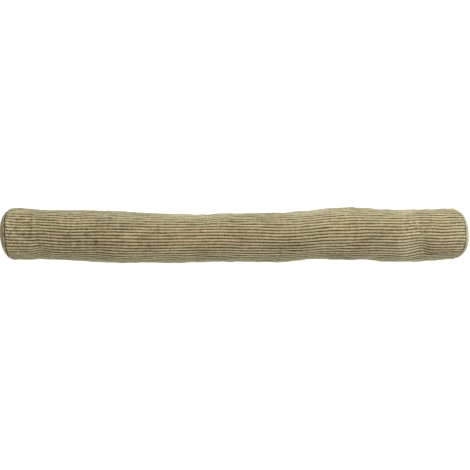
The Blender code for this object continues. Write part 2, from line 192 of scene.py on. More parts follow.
# How the pile lies and where light and shade are painted on it, by place with the same columns: how much paler
# it is there, partly the nap's own tone and partly painted highlight and shade on swellings, creases, ends and
# edges, how much greener, or browner where negative, partly the painted sheen's hue at the edges, how nubby
# its ribs are, and how much painted shade darkens their valleys, with painted sheen paling them where negative
NAP_COLUMNS = ("along", "turn", "reach_along", "reach_turn", "slant", "tone", "green", "nubby", "painted_shade_and_sheen")
NAP_AND_PAINTED_LIGHT_PATCHES = (
    # Along the whole tube: painted sheen at the top and bottom edges, painted shade at the very top, and painted
    # shade in the valleys of the lower side
    (0.000, 74.0, 2.000, 18.0, 0.000, -0.02, 0.40, -0.3, -0.35),
    (0.000, 88.0, 2.000, 22.0, 0.000, -0.12, 0.00, 0.0, 0.0),
    (0.000, -41.0, 2.000, 15.0, 0.000, 0.08, 0.10, 0.0, 2.0),
    (0.000, -74.0, 2.000, 20.0, 0.000, -0.04, 0.45, -0.3, -0.15),
    (-0.120, 8.0, 0.130, 26.0, 0.000, 0.00, -0.45, 0.0, 0.0),
    (-0.330, 0.0, 0.140, 70.0, 0.000, -0.04, 0.10, 0.3, 0.3),
    (-0.215, -8.0, 0.045, 18.0, 0.000, -0.03, -0.35, 0.0, 0.0),
    (-0.325, -8.0, 0.025, 14.0, 0.000, -0.10, -0.20, 0.0, 0.0),
    (-0.345, -46.0, 0.045, 14.0, 0.000, -0.06, 0.40, 0.0, 0.0),
    (-0.258, -14.0, 0.014, 12.0, 0.000, -0.10, -0.10, 0.0, 0.0),
    (-0.243, -44.0, 0.022, 12.0, 0.000, -0.06, 0.00, 0.0, 0.0),
    (-0.162, -16.0, 0.022, 10.0, 0.000, -0.08, -0.20, 0.0, 0.0),
    (-0.202, 1.0, 0.022, 10.0, 0.000, 0.09, -0.10, 0.2, 0.0),
    # Rows whose last value is negative paint pale sheen near the top edge
    (-0.405, 58.0, 0.016, 12.0, 0.000, 0.02, 0.20, 0.0, -0.4),
    (-0.318, 37.0, 0.030, 10.0, 0.000, 0.02, -0.35, 0.0, -0.4),
    (-0.300, 64.0, 0.012, 12.0, 0.000, 0.06, 0.20, 0.0, -0.3),
    (-0.210, 52.0, 0.024, 9.0, 0.000, 0.03, 0.30, 0.0, -0.5),
    (-0.120, 66.0, 0.030, 12.0, 0.000, 0.05, 0.20, 0.0, -0.3),
    (-0.055, -37.0, 0.016, 24.0, 0.000, -0.12, 0.10, 0.0, 0.0),
    (-0.045, 66.0, 0.045, 12.0, 0.000, 0.11, 0.20, 0.0, -0.25),
    (0.011, -2.0, 0.018, 9.0, 0.000, -0.07, -0.20, 0.0, 0.0),
    (0.053, 46.0, 0.016, 8.0, 0.000, -0.08, 0.40, 0.0, 0.0),
    (0.139, 66.0, 0.045, 12.0, 0.000, 0.09, 0.30, 0.0, -0.25),
    (0.145, 24.0, 0.080, 20.0, 0.000, 0.04, 0.00, 0.0, 0.0),
    (0.240, 54.0, 0.040, 14.0, 0.000, 0.04, 0.00, 0.0, 0.0),
    (0.103, -19.0, 0.030, 16.0, 0.000, -0.11, 0.40, 0.0, 0.0),
    (0.100, -38.0, 0.030, 14.0, 0.000, -0.02, 0.40, 0.0, 0.0),
    (0.164, -37.0, 0.022, 12.0, 0.000, 0.06, 0.40, 0.0, 0.0),
    (0.191, -57.0, 0.022, 10.0, 0.000, -0.12, 0.00, 0.0, 0.0),
    (0.252, -21.0, 0.012, 22.0, 0.070, -0.12, -0.30, 0.3, 0.0),
    (0.270, 11.0, 0.018, 14.0, 0.000, -0.04, -0.40, 0.0, 0.0),
    # Painted highlight on the swelling left of the big crease, and painted shade right of it at 0.371 and 0.385
    (0.325, -37.0, 0.018, 30.0, 0.000, 0.13, 0.10, 0.0, 0.0),
    (0.342, 17.0, 0.018, 17.0, 0.000, 0.04, 0.00, 1.4, 0.3),
    (0.327, 64.0, 0.020, 14.0, 0.000, 0.08, 0.00, 0.0, -0.4),
    (0.327, 0.0, 0.020, 60.0, 0.000, 0.04, -0.10, 0.0, 0.0),
    (0.371, -35.0, 0.009, 22.0, 0.004, -0.10, -0.10, 0.0, 0.0),
    (0.385, -44.0, 0.036, 14.0, 0.000, -0.08, -0.20, 0.4, 0.0),
    (0.400, -4.0, 0.026, 14.0, 0.000, 0.04, -0.20, 0.0, 0.0),
    (0.415, 0.0, 0.045, 70.0, 0.000, 0.05, 0.00, 0.0, 0.0),
    # Painted shade over the left end and its panel
    (-0.446, 0.0, 0.009, 70.0, 0.000, -0.20, -0.40, 0.0, 0.6),
    (-0.415, 8.0, 0.028, 50.0, 0.000, 0.05, 0.00, 0.5, 0.3),
    (-0.432, 14.0, 0.010, 32.0, 0.000, 0.08, -0.10, 0.5, 0.2),
    # Painted sheen over the right panel, pale and greener
    (0.450, 0.0, 0.007, 80.0, 0.000, 0.07, 0.50, 0.0, -1.4),
)

# How strongly the patches' tones count, how far painted sheen may fill the ribs' valleys and pale the pile, and
# how nubby the ribs are elsewhere
NAP_STRENGTH = 2.1
MOST_PAINTED_SHEEN = 0.8
NUBBY = 0.45

# How finely the cloth is made: each rib's points as a share of its pitch and of its height, the widest gap
# between two rings, the rings of each rounded end, the steps of the seam's lip and of the hidden faces with
# their levels, which fade the pile's colour to the valleys' as painted shade in the seam's fold, the steps
# along a panel's rib, those of a section's outline, and the step that slopes are read by
RIB_POINTS = ((0.00, 0.0), (0.14, 0.72), (0.36, 1.0), (0.64, 1.0), (0.86, 0.72))
RING_GAP = 0.00236
ROUNDING_RINGS = 9
LIP_STEPS = (0.34, 0.67, 1.0)
LIP_SHADE_LEVELS = (0.55, 0.15, 0.0)
INNER_STEPS = (0.66, 0.33)
BACK_SHADE_LEVELS = LIP_SHADE_LEVELS + (0.0,) * len(INNER_STEPS)
PANEL_LINE_STEPS = 64
OUTLINE_STEPS = 720
SLOPE_STEP = 0.001

# How uneven the ribs are: the waviness of their lines and of their height, each with the length of a wave
WAVINESS = 0.00030
WAVE_LENGTH = 0.022
HEIGHT_CHANGE = 0.24
HEIGHT_LENGTH = 0.013
SEED = 7

# The simulation of the slack cover: its grid, how much longer the cloth is cut than the tube, the air
# pressure that stands for the filling, the steps, the blur that takes out its overall swelling, how far a
# point may move at most, the cloth's stiffness, and how far from the roundings it starts to move freely
SETTLE_GAP = 0.0055
SETTLE_COLUMNS = 2 * RIB_COUNT
SLACK = 1.025
PRESSURE = 4.0
SETTLE_FRAMES = 20
SETTLE_BLUR = 0.030
MOST_SETTLED = 0.0030
BENDING = 0.3
HELD_REACH = 0.020

# The seams' puckers: how many there are round an end, their depth, how far they reach from the seam, and the
# sways that space them unevenly, each with its size in radians and how many there are round an end
PUCKERS = 34
PUCKER_DEPTH = 0.0005
PUCKER_REACH = 0.010
PUCKER_SWAYS = ((2.1, 3), (1.3, 7))

# The panels: their cut, a disc with a seam allowance, their radius for the puckers' reach, how far round their
# puckers are from the sleeve's, how much shallower the valleys are at the rim, and how sharply they get so
PANEL_RADIUS = 0.045
PUCKER_OFFSET = 0.09
RIM_SHALLOWER = 0.35
RIM_SHARPNESS = 6

# The cloth's colours
CROWN = (0.337, 0.285, 0.193, 1.0)
# The valleys' colour is partly the cloth's own and partly painted shade for the grooves' occlusion
VALLEY = (0.067, 0.049, 0.012, 1.0)
BROWN_NAP = (1.05, 0.98, 0.85, 1.0)
GREEN_NAP = (0.94, 1.00, 0.86, 1.0)
# The pale colour of the pile's nap and of the painted sheen
PALE_NAP_AND_SHEEN_PAINT = (0.41, 0.39, 0.31, 1.0)
SHEEN_TINT = (0.85, 0.89, 0.80, 1.0)
SHEEN = 0.48

# The cloth's noises. The first three lie in the cloth's own coordinates, metres along and ribs round it, and
# have a scale for each. The others lie in the model's space and have one scale. Detail and roughness follow.
# Then the part of the hue's noise that counts, and how the hue's and the blotches' noises are stretched.
NUBS = ((300.0, 1.9, 0.0), 3.0, 0.7)
STREAKS = ((22.0, 0.93, 0.0), 2.0, 0.5)
BEADS = ((120.0, 0.55, 0.0), 2.0, 0.6)
NAP = (17.0, 3.0, 0.6)
HUE = (24.0, 3.0, 0.6)
BLOTCHES = (75.0, 2.0, 0.6)
PILE = (1100.0, 3.0, 0.7)
HUE_RANGE = (0.30, 0.70)
HUE_STRETCH = (1.0, 1.0, -1.0)
BLOTCH_STRETCH = (0.7, 1.0, 1.0)

# What they do: how far nubs and beads raise the pile's colour, how sharply it follows the ribs, how much light
# each gives, how pale the patches' tone and the painted sheen's blotches make it, and the bump
NUB_RAISING = 1.9
BEAD_RAISING = 0.9
RIB_SHARPNESS = 3.0
BASE_LIGHT = 0.55
STREAK_LIGHT = 0.55
NAP_LIGHT = 0.35
TONE_LIGHT = 0.8
BEAD_LIGHT = 1.1
TONE_PALENESS = 0.4
SHEEN_PAINT_START = 0.35
SHEEN_PAINT_GAIN = 3.0
SHEEN_PAINT_PALENESS = 0.5
BUMP_NUBS = 0.6
BUMP_PILE = 0.4
BUMP_STRENGTH = 0.5
BUMP_DEPTH = 0.0008
CLOTH_ROUGHNESS = 0.95
CLOTH_SPECULAR = 0.15
SHEEN_ROUGHNESS = 0.40

# The floor, the room's light and the soft light over the tube's back
FLOOR_SIZE = 8.0
FLOOR_PLACE = (0.0, 0.0, -0.0004)
FLOOR_COLOUR = (0.93, 0.93, 0.93, 1.0)
FLOOR_ROUGHNESS = 0.9
FLOOR_GLOW = 0.55
WORLD_LIGHT = 1.0
KEY_PLACE = (0.9, 1.5, 1.8)
KEY_AIM = (0.0, 0.0, 0.05)
KEY_SIZE = 1.6
KEY_LIGHT = 46.0

# The camera looks straight down on the tube
LENS = 135.0
SENSOR = 36.0
CAMERA_PLACE = (0.0010, 0.0001, 3.430)


def rows(columns, table):
    """A table's rows as dictionaries, by column name."""
    return [dict(zip(columns, row)) for row in table]


def curve_through(places, values, at):
    """A smooth curve through values at places, read at other places along the first axis."""
    slopes = np.gradient(values, places, axis=0)
    at = np.clip(at, places[0], places[-1])
    i = np.clip(np.searchsorted(places, at) - 1, 0, len(places) - 2)
    gap = places[i + 1] - places[i]
    t = (at - places[i]) / gap
    while gap.ndim < values[i].ndim:
        gap, t = gap[..., None], t[..., None]
    start = (1 + 2 * t) * (1 - t) ** 2 * values[i] + t * (1 - t) ** 2 * gap * slopes[i]
    end = t * t * (3 - 2 * t) * values[i + 1] - t * t * (1 - t) * gap * slopes[i + 1]
    return start + end


def section(name, along):
    """One column of SECTIONS at places along the tube."""
    table = rows(SECTION_COLUMNS, SECTIONS)
    places = np.array([row["along"] for row in table])
    values = np.array([row[name] for row in table])
    return curve_through(places, values, np.asarray(along, float))


def middle_of(along):
    """The middle of the tube's section in Y and Z, and half its width and height before the floor's cut."""
    back = section("back", along)
    front = section("front", along)
    half_height = (section("height", along) + FLOOR_CUT) / 2
    return (back + front) / 2 + ASIDE, half_height - FLOOR_CUT, (back - front) / 2, half_height


def on_floor(z):
    """Heights with all that is under the floor brought up to it, eased in where the cloth leaves it."""
    eased = (np.maximum(z, -FLOOR_EASE) + FLOOR_EASE) ** 2 / (4 * FLOOR_EASE)
    return np.where(z < FLOOR_EASE, eased, z)


def end_width(depth, end):
    """The tube's width at a depth from its tip, as a share of its full width."""
    inside = np.clip(1 - depth / end["rounding"], 0, 1)
    return (1 - inside ** end["fullness"]) ** (1 / end["fullness"])


def end_depth(width, end):
    """The depth from the tip where the rounded end is this share of the full width."""
    return end["rounding"] * (1 - (1 - width ** end["fullness"]) ** (1 / end["fullness"]))


def end_place(end, depth):
    """The place along X at a depth from one end's tip."""
    return end["side"] * (LENGTH / 2 - depth)


def seam_depth(turn, end):
    """How far the seam is from the tip, round the end."""
    aside = np.sin(turn)
    return end["seam"] + end["askew"] * aside + end["drawn"] * np.abs(aside) ** SIDE_SHARPNESS


def spread_turn(turn, width):
    """Turns moved out towards the sides, so that the ribs stay apart where the end narrows."""
    aside = np.sin(turn)
    aside = aside * (1 + RIB_SPREAD * (1 / width - 1) * (1 - aside ** 4))
    return np.arctan2(aside, np.sign(np.cos(turn)) * np.sqrt(1 - aside ** 2))


def round_point(along, turn, width):
    """Points of the tube's round section, at a share of its full width."""
    left, right = rows(END_COLUMNS, ENDS)
    y, z, half_width, half_height = middle_of(along)
    pushed = np.where(along < 0, left["pushed"], right["pushed"]) * (1 - width)
    aside = half_width * width * np.sin(turn)
    up = half_height * width * np.cos(turn)
    return np.stack([along, y + pushed + aside, z + up], -1)


def plain_point(along, turn):
    """Points of the tube's plain form with its rounded ends, without ribs, creases and floor."""
    left, right = rows(END_COLUMNS, ENDS)
    width = np.minimum(end_width(LENGTH / 2 + along, left), end_width(LENGTH / 2 - along, right))
    return round_point(along, turn, width)


def outward(along, turn):
    """The plain form's outward normals at those points."""
    round_it = plain_point(along, turn + SLOPE_STEP) - plain_point(along, turn - SLOPE_STEP)
    along_it = plain_point(along + SLOPE_STEP, turn) - plain_point(along - SLOPE_STEP, turn)
    normal = np.cross(along_it, round_it)
    normal = normal * np.sign(normal[..., 1] * np.sin(turn) + normal[..., 2] * np.cos(turn))[..., None]
    return normal / np.linalg.norm(normal, axis=-1)[..., None]


def degrees_from(turn, degrees):
    """How many degrees turns are from one given in degrees, from -180 to 180."""
    return (np.degrees(turn) - degrees + 180.0) % 360.0 - 180.0


def crease_depth(along, turn, table):
    """How far the slack cover lies under its plain form."""
    depth = np.zeros_like(turn)
    for crease in rows(CREASE_COLUMNS, table):
        away = degrees_from(turn, crease["turn"])
        shifted = along - crease["along"] - crease["slant"] * np.radians(away)
        strength = (shifted / crease["reach_along"]) ** 2 + (away / crease["reach_turn"]) ** 2
        depth += crease["depth"] * np.exp(-strength)
    return depth


def rib_shift(along, turn, table):
    """How far the ribs are shifted round the tube where they bend aside."""
    shift = np.zeros_like(turn)
    for bend in rows(BEND_COLUMNS, table):
        away = degrees_from(turn, bend["turn"])
        strength = ((along - bend["along"]) / bend["reach_along"]) ** 2 + (away / bend["reach_turn"]) ** 2
        shift += bend["shift"] * np.exp(-strength)
    return shift


def cloth_turns(along, shares, wavy):
    """The turns of the cloth's points on one section, at shares of its girth, moved aside by a wavy line."""
    turns = np.linspace(0, 2 * math.pi, OUTLINE_STEPS + 1)
    outline = plain_point(np.full_like(turns, along), turns)
    steps = np.hypot(np.diff(outline[:, 1]), np.diff(on_floor(outline[:, 2])))
    length = np.concatenate([[0.0], np.cumsum(steps)])
    places = shares * length[-1] + section("drift", along) + wavy
    places += rib_shift(along, np.interp(places % length[-1], length, turns), BENDS + FINE_BENDS)
    return np.interp(places % length[-1], length, turns)


def rib_noise(along, rib, wave, chance):
    """Smooth noise from -1 to 1 along each rib, with a new value every wave."""
    knots = chance.uniform(-1, 1, (int(LENGTH / wave) + 2, RIB_COUNT))
    spot = (along + LENGTH / 2) / wave
    first = np.clip(np.floor(spot).astype(int), 0, len(knots) - 2)
    t = spot - first
    t = t * t * (3 - 2 * t)
    return knots[first, rib] * (1 - t) + knots[first + 1, rib] * t


def even_places(start, end, gap):
    """Places from start to end, no further apart than gap."""
    return np.linspace(start, end, math.ceil((end - start) / gap) + 1)


def places_between_roundings(gap):
    """Places along the tube from one rounded end to the other, no further apart than gap."""
    left, right = rows(END_COLUMNS, ENDS)
    return even_places(end_place(left, left["rounding"]), end_place(right, right["rounding"]), gap)


def blurred(field, places, reach):
    """A field on rings at places, averaged along the tube over a reach."""
    away = (places[:, None] - places[None, :]) / reach
    weight = np.exp(-away * away)
    return (weight / weight.sum(1)[:, None]) @ field


def grid_faces(ring_count, column_count):
    """The quads of a tube of rings, each closed round."""
    ring, column = np.meshgrid(np.arange(ring_count - 1), np.arange(column_count), indexing="ij")
    beside = (column + 1) % column_count
    corners = [ring * column_count + column, ring * column_count + beside]
    corners += [(ring + 1) * column_count + beside, (ring + 1) * column_count + column]
    return np.stack(corners, -1).reshape(-1, 4).tolist()


def simulated(start):
    """Where Blender's cloth takes the points of a cover's rings when its slack settles, with both rims held."""
    ring_count, column_count = start.shape[:2]
    mesh = bpy.data.meshes.new("settling_cover")
    mesh.from_pydata(start.reshape(-1, 3).tolist(), [], grid_faces(ring_count, column_count))
    cover = bpy.data.objects.new("settling_cover", mesh)
    bpy.context.scene.collection.objects.link(cover)
    held = cover.vertex_groups.new(name="held")
    last_ring = (ring_count - 1) * column_count
    held.add([*range(column_count), *range(last_ring, last_ring + column_count)], 1.0, "REPLACE")
    cover.shape_key_add(name="as it lies")
    cut = cover.shape_key_add(name="as cut")
    cut_points = start.reshape(-1, 3) * np.array([SLACK, 1.0, 1.0])
    cut.data.foreach_set("co", cut_points.ravel())
    cloth = cover.modifiers.new("cloth", "CLOTH")
    cloth.settings.vertex_group_mass = "held"
    cloth.settings.rest_shape_key = cut
    cloth.settings.use_pressure = True
    cloth.settings.uniform_pressure_force = PRESSURE
    cloth.settings.effector_weights.gravity = 0.0
    cloth.settings.bending_stiffness = BENDING
    cloth.point_cache.frame_end = SETTLE_FRAMES
    for step in range(1, SETTLE_FRAMES + 1):
        bpy.context.scene.frame_set(step)
    settled = cover.evaluated_get(bpy.context.evaluated_depsgraph_get()).to_mesh()
    end = np.zeros(len(settled.vertices) * 3)
    settled.vertices.foreach_get("co", end)
    bpy.data.objects.remove(cover)
    bpy.context.scene.frame_set(1)
    return end.reshape(start.shape)


def settle_slack():
    """How far a plain cover's slack settles outwards, at places and at shares of its girth."""
    places = places_between_roundings(SETTLE_GAP)
    shares = np.arange(SETTLE_COLUMNS) / SETTLE_COLUMNS
    turn = np.array([cloth_turns(place, shares, 0.0) for place in places])
    along = np.repeat(places[:, None], SETTLE_COLUMNS, 1)
    normal = outward(along, turn)
    start = plain_point(along, turn) - normal * crease_depth(along, turn, CREASES)[..., None]
    start[..., 2] = on_floor(start[..., 2])
    moved = ((simulated(start) - start) * normal).sum(-1)
    moved = moved - blurred(moved, places, SETTLE_BLUR)
    return places, np.clip(moved, -MOST_SETTLED, MOST_SETTLED)


def lip_point(start, corner, fold, step):
    """A point of the seam's rounded lip, on the curve from the skin round its corner into the fold."""
    return start * (1 - step) ** 2 + corner * 2 * step * (1 - step) + fold * step ** 2


def puckers(turn, from_seam, end):
    """How far the cloth is drawn in by the seam's stitches."""
    (wide, wide_count), (narrow, narrow_count) = PUCKER_SWAYS
    sway = wide * np.sin(wide_count * turn + end["side"]) + narrow * np.sin(narrow_count * turn)
    wave = np.sin(PUCKERS * turn + sway)
    return PUCKER_DEPTH * (0.5 + 0.5 * wave) * np.exp(-(from_seam / PUCKER_REACH) ** 2)


def fold_point(end, turn, share, depth):
    """Points of the faces that meet under an end panel, at a share of the fold's width and a depth."""
    seam_place = np.full_like(turn, end_place(end, end["seam"]))
    fold_width = end_width(seam_depth(turn, end), end) - SEAM_FOLD / middle_of(seam_place)[3]
    points = round_point(seam_place, turn, share * fold_width)
    points[:, 0] = end_place(end, depth)
    return points


def inner_depth(end, turn, share):
    """The depth from the tip of the face between panel and stuffing, from its middle to the fold."""
    fold = seam_depth(turn, end)
    bowl = end_depth(share * end_width(fold, end), end) / fold
    return PANEL_THICKNESS + (fold - PANEL_THICKNESS) * bowl


def inner_tip(end, gap):
    """The middle of the face between panel and stuffing."""
    turn = np.zeros(1)
    return fold_point(end, turn, 0.0, inner_depth(end, turn, 0.0) + gap)[0]


def sleeve_skin(along, turn, level, rib, lengthened):
    """The sleeve's ribbed and creased skin, for rows of points along the tube."""
    chance = np.random.default_rng(SEED)
    height = RIB_HEIGHT * (1 + HEIGHT_CHANGE * rib_noise(along, rib, HEIGHT_LENGTH, chance))
    sunk = RIB_HEIGHT - height * level
    sunk[:, 0] += JOIN_DEPTH
    sunk += crease_depth(along, turn, CREASES) + crease_depth(along, turn, FINE_CREASES) - lengthened
    for end in rows(END_COLUMNS, ENDS):
        depth = LENGTH / 2 - end["side"] * along
        sunk += puckers(turn, depth - seam_depth(turn, end), end)
    points = plain_point(along, turn) - outward(along, turn) * sunk[..., None]
    points[..., 2] = on_floor(points[..., 2])
    return points


def sleeve_rings():
    """Each of the sleeve's columns, by its rib, its phase in the rib and its level, and the rings' places."""
    ribs = np.repeat((np.arange(RIB_COUNT) + JOIN_GROOVE) % RIB_COUNT, len(RIB_POINTS))
    phases = np.tile([phase for phase, _ in RIB_POINTS], RIB_COUNT)
    levels = np.tile([level for _, level in RIB_POINTS], RIB_COUNT)
    return ribs, phases, levels, places_between_roundings(RING_GAP)


def settled_slack(along, shares):
    """How far the slack has settled at the sleeve's points, smoothly between the simulation's."""
    places, settled = settle_slack()
    held = np.clip(np.minimum(along - places[0], places[-1] - along) / HELD_REACH, 0, 1)
    columns = (np.arange(SETTLE_COLUMNS + 3) - 1) / SETTLE_COLUMNS
    padded = settled[:, np.arange(-1, SETTLE_COLUMNS + 2) % SETTLE_COLUMNS]
    by_ring = curve_through(places, padded, along[:, 0])
    return curve_through(columns, by_ring.T, shares).T * held


def back_rings(end, turn, edge, corner, side):
    """The rings from an edge round the seam's lip and over the hidden faces, on one side of its gap."""
    gap = side * PIECE_GAP / 2
    fold = fold_point(end, turn, 1.0, seam_depth(turn, end) + gap)
    rings = [lip_point(edge, corner, fold, step) for step in LIP_STEPS]
    for share in INNER_STEPS:
        rings.append(fold_point(end, turn, share, inner_depth(end, turn, share) + gap))
    return rings


def sleeve_points():
    """All the sleeve's points, ring by ring from tip to tip, with the cloth's own coordinates for each."""
    ribs, phases, levels, places = sleeve_rings()
    shares = (ribs + phases) / RIB_COUNT
    chance = np.random.default_rng(SEED + 1)
    along = np.repeat(places[:, None], len(ribs), 1)
    wavy = WAVINESS * rib_noise(along, ribs[None, :], WAVE_LENGTH, chance)
    turn = np.array([cloth_turns(place, shares, line) for place, line in zip(places, wavy)])
    left, right = rows(END_COLUMNS, ENDS)
    steps = np.arange(1, ROUNDING_RINGS + 1) / ROUNDING_RINGS
    for end, edge in ((left, 0), (right, -1)):
        at_seam = spread_turn(turn[edge], end_width(seam_depth(turn[edge], end), end))
        lip = seam_depth(at_seam, end) + SEAM_LIP
        depth = end["rounding"] + (lip - end["rounding"]) * steps[:, None]
        added = spread_turn(turn[edge][None, :], end_width(depth - SEAM_LIP, end))
        added += rib_shift(end_place(end, depth), added, END_BENDS) / middle_of(end_place(end, lip))[3]
        if end["side"] < 0:
            along = np.concatenate([end_place(end, depth)[::-1], along])
            turn = np.concatenate([added[::-1], turn])
        else:
            along = np.concatenate([along, end_place(end, depth)])
            turn = np.concatenate([turn, added])
    skin = sleeve_skin(along, turn, levels, np.broadcast_to(ribs, turn.shape), settled_slack(along, shares))
    rings = [skin]
    # The seam's lip and hidden faces get lower levels: painted shade in the seam's fold
    ring_shade_levels = [1.0] * len(skin)
    for end, edge in ((left, 0), (right, -1)):
        corner = skin[edge] + np.array([end["side"] * (SEAM_LIP - PIECE_GAP / 2), 0.0, 0.0])
        more = back_rings(end, turn[edge], skin[edge], corner, 1)
        more_shade_levels = list(BACK_SHADE_LEVELS)
        if end["side"] < 0:
            rings.insert(0, np.array(more[::-1]))
            ring_shade_levels = more_shade_levels[::-1] + ring_shade_levels
        else:
            rings.append(np.array(more))
            ring_shade_levels += more_shade_levels
    points = np.concatenate(rings)
    points[..., 2] = np.maximum(points[..., 2], 0.0)
    numbers = np.broadcast_to(np.arange(RIB_COUNT).repeat(len(RIB_POINTS)) + phases, points.shape[:2])
    cloth = np.stack([points[..., 0], numbers, np.zeros_like(numbers)], -1)
    return points, cloth, levels[None, :] * np.array(ring_shade_levels)[:, None]


def pile_nap_and_painted_light(points):
    """How the pile lies at points of the cloth, with the light and shade painted there: its tone, partly painted
    highlight and shade, its greenness, nubs, and painted shade in its valleys, painted sheen where negative.
    """
    along = points[:, 0]
    y, z, half_width, half_height = middle_of(along)
    turn = np.arctan2((points[:, 1] - y) / half_width, (points[:, 2] - z) / half_height)
    nap = np.zeros((len(points), 4)) + np.array([0.0, 0.0, NUBBY, 0.0])
    for patch in rows(NAP_COLUMNS, NAP_AND_PAINTED_LIGHT_PATCHES):
        away = degrees_from(turn, patch["turn"])
        shifted = along - patch["along"] - patch["slant"] * np.radians(away)
        strength = np.exp(-(shifted / patch["reach_along"]) ** 2 - (away / patch["reach_turn"]) ** 2)
        change = np.array([patch["tone"] * NAP_STRENGTH, patch["green"], patch["nubby"], patch["painted_shade_and_sheen"]])
        nap += strength[:, None] * change
    return nap


def cloth_piece(name, points, faces, cloth, level, material):
    """One piece of corduroy, with the cloth's own coordinates, its pile's height with painted shade and sheen
    worked in, its painted sheen, and its nap with painted light as attributes.
    """
    mesh = bpy.data.meshes.new(name)
    mesh.from_pydata(points.tolist(), [], faces)
    mesh.attributes.new("cloth", "FLOAT_VECTOR", "POINT").data.foreach_set("vector", cloth.ravel())
    nap = pile_nap_and_painted_light(points)
    # Painted shade: the patches' positive last column darkens the valleys' colour further
    level = level.ravel() ** (1 + np.maximum(nap[:, 3], 0.0))
    # Painted sheen: the patches fill the valleys with the crowns' colour and pale the pile
    painted_sheen = np.clip(-nap[:, 3], 0.0, MOST_PAINTED_SHEEN)
    level = level + (1 - level) * painted_sheen
    mesh.attributes.new("level", "FLOAT", "POINT").data.foreach_set("value", level)
    mesh.attributes.new("painted_sheen", "FLOAT", "POINT").data.foreach_set("value", painted_sheen)
    mesh.attributes.new("nap", "FLOAT_VECTOR", "POINT").data.foreach_set("vector", nap[:, :3].ravel())
    mesh.materials.append(material)
    bm = bmesh.new()
    bm.from_mesh(mesh)
    bmesh.ops.recalc_face_normals(bm, faces=bm.faces)
    bm.to_mesh(mesh)
    bm.free()
    mesh.shade_smooth()
    piece = bpy.data.objects.new(name, mesh)
    bpy.context.scene.collection.objects.link(piece)
    return piece


def with_tips(faces, ring_count, column_count, first_tip, last_tip):
    """The faces with a fan at each end, from the first and the last ring to their tips."""
    last = (ring_count - 1) * column_count
    for column in range(column_count):
        beside = (column + 1) % column_count
        faces.append([beside, column, first_tip])
        faces.append([last + column, last + beside, last_tip])
    return faces


def make_sleeve(material):
    """The stuffed sleeve."""
    points, cloth, level = sleeve_points()
    ring_count, column_count = points.shape[:2]
    left, right = rows(END_COLUMNS, ENDS)
    tips = np.array([inner_tip(left, PIECE_GAP / 2), inner_tip(right, PIECE_GAP / 2)])
    count = ring_count * column_count
    faces = with_tips(grid_faces(ring_count, column_count), ring_count, column_count, count, count + 1)
    all_points = np.concatenate([points.reshape(-1, 3), tips])
    all_cloth = np.concatenate([cloth.reshape(-1, 3), np.zeros((2, 3))])
    all_levels = np.concatenate([level.ravel(), np.zeros(2)])
    piece = cloth_piece("sleeve_cover", all_points, faces, all_cloth, all_levels, material)
    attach(piece, "root")
    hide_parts("sleeve")


def panel_skin(end, across, lengthwise, level):
    """Points of a panel's outer face, by their place across the ribs and along them on the flat disc."""
    turn = np.arctan2(across, lengthwise) + math.radians(end["turned"])
    share = np.minimum(np.hypot(across, lengthwise), 1.0)
    rim = end_width(seam_depth(turn, end) - SEAM_LIP, end)
    width = share * rim
    points = round_point(np.full_like(turn, end_place(end, end["seam"])), turn, width)
    sunk = RIB_HEIGHT * (1 - level) * (1 - RIM_SHALLOWER * share ** RIM_SHARPNESS)
    sunk += puckers(turn + PUCKER_OFFSET, (1 - share) * PANEL_RADIUS, end)
    points[..., 0] = end_place(end, end_depth(width, end) + sunk)
    return points


def panel_face(end):
    """A panel's outer face: its points, with the cloth's coordinates and levels, its faces, and its rim."""
    phases = [phase for phase, _ in RIB_POINTS]
    levels = [level for _, level in RIB_POINTS]
    places = (np.arange(PANEL_RIBS)[:, None] + np.array(phases)[None, :]).ravel()[1:]
    line_levels = np.tile(levels, PANEL_RIBS)[1:]
    across = places * 2 / PANEL_RIBS - 1
    steps = np.sin(np.linspace(-0.5, 0.5, PANEL_LINE_STEPS + 1) * math.pi)
    half_chord = np.sqrt(1 - across ** 2)
    flat_across = np.repeat(across[:, None], len(steps), 1)
    flat_lengthwise = half_chord[:, None] * steps[None, :]
    level = np.repeat(line_levels[:, None], len(steps), 1)
    skin = panel_skin(end, flat_across, flat_lengthwise, level)
    radius = section("height", end_place(end, end["seam"])) / 2
    cloth = np.stack([flat_lengthwise * radius, np.repeat(places[:, None], len(steps), 1), 0 * level], -1)
    poles = panel_skin(end, np.array([-1.0, 1.0]), np.zeros(2), np.zeros(2))
    count = skin.shape[0] * skin.shape[1]
    points = [skin.reshape(-1, 3), poles]
    all_cloth = [cloth.reshape(-1, 3), np.array([[0, 0, 0], [0, PANEL_RIBS, 0]])]
    all_levels = [level.ravel(), np.zeros(2)]
    across_count, step_count = skin.shape[:2]
    faces = []
    for i in range(across_count - 1):
        for j in range(step_count - 1):
            at = i * step_count + j
            faces.append([at, at + 1, at + step_count + 1, at + step_count])
    last = (across_count - 1) * step_count
    for j in range(step_count - 1):
        faces.append([count, j + 1, j])
        faces.append([count + 1, last + j, last + j + 1])
    rim = [count] + [i * step_count + step_count - 1 for i in range(across_count)]
    rim += [count + 1] + [i * step_count for i in reversed(range(across_count))]
    return np.concatenate(points), np.concatenate(all_cloth), np.concatenate(all_levels), faces, rim


def panel_rings(end, rim_points):
    """The rings from a panel's rim round its lip and over its plain back."""
    y, z, half_width, half_height = middle_of(end_place(end, end["seam"]))
    turn = np.arctan2((rim_points[:, 1] - y) / half_width, (rim_points[:, 2] - z) / half_height)
    corner = rim_points.copy()
    corner[:, 0] = end_place(end, seam_depth(turn, end) - PIECE_GAP / 2)
    return back_rings(end, turn, rim_points, corner, -1)


